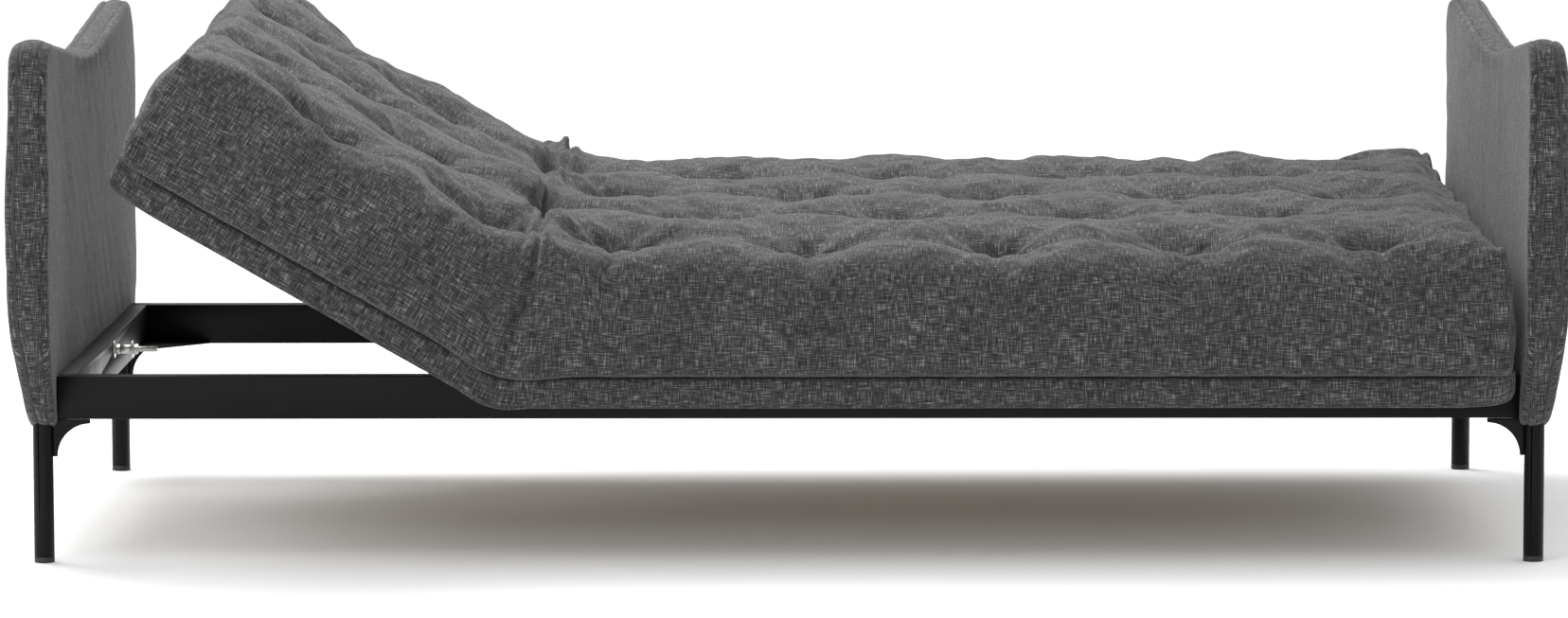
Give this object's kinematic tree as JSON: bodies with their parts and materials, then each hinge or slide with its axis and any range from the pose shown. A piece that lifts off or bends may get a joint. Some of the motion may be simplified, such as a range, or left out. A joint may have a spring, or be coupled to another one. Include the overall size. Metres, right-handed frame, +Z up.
{
  "type": "futon sofa bed",
  "caption": "Sofa bed laid flat: tufted futon mattress on a slatted tray with a tilting head section, between two padded winged arms on slim round legs.",
  "frame": {"origin": "on the floor under the middle of the frame", "axes": "+X along the bed from the headrest end to the foot end, +Y across the bed from the low long side of the tray to its high long side, +Z up"},
  "size_m": [2.154, 1.1615, 0.7499],
  "materials": {
    "powder_coat": "satin",
    "charcoal_fabric": "matte",
    "timber": "matte",
    "zinc": "satin",
    "black_plastic": "matte"
  },
  "bodies": {
    "frame": {"rail_near": "powder_coat", "rail_far": "powder_coat", "end_rail_left": "powder_coat", "end_rail_right": "powder_coat", "corner_gussets": "powder_coat", "leg_left_near": "powder_coat", "leg_left_far": "powder_coat", "leg_right_near": "powder_coat", "leg_right_far": "powder_coat", "leg_glides": "black_plastic", "leg_brackets": "powder_coat", "leg_bolts": "zinc", "leg_barrel_nuts": "zinc", "arm_left_core": "timber", "arm_left_pad": "charcoal_fabric", "arm_right_core": "timber", "arm_right_pad": "charcoal_fabric", "frame_washers": "zinc", "frame_nuts": "zinc", "frame_spacers": "zinc", "frame_studs": "zinc", "stud_inserts": "zinc", "seat_board_near": "timber", "seat_board_far": "timber", "seat_board_end": "timber", "seat_board_fold": "timber", "seat_batten": "timber", "seat_slats": "timber", "seat_nose": "timber", "seat_cover_near": "charcoal_fabric", "seat_cover_far": "charcoal_fabric", "seat_hinge_screws": "zinc", "hinge_fixed_straps": "powder_coat", "hinge_pins": "zinc", "hinge_housings": "powder_coat", "fold_webs": "charcoal_fabric", "tray_buffers": "black_plastic", "tray_blocks": "timber", "mattress_seat": "charcoal_fabric", "mattress_fold": "charcoal_fabric"},
    "headrest": {"head_board_near": "timber", "head_board_far": "timber", "head_board_end": "timber", "head_board_fold": "timber", "head_batten": "timber", "head_slats": "timber", "head_nose": "timber", "head_cover_near": "charcoal_fabric", "head_cover_far": "charcoal_fabric", "head_hinge_screws": "zinc", "hinge_moving_straps": "powder_coat", "hinge_spacers": "zinc", "mattress_head": "charcoal_fabric"}
  },
  "joints": [
    {"name": "headrest_tilt", "type": "hinge", "parent": "frame", "child": "headrest", "pos_m": [-0.4, -0.00173, 0.28313], "axis": [0, 0.9991, 0.0423], "range_deg": [-30, 30], "deforming": ["mattress_fold", "fold_webs"]}
  ]
}
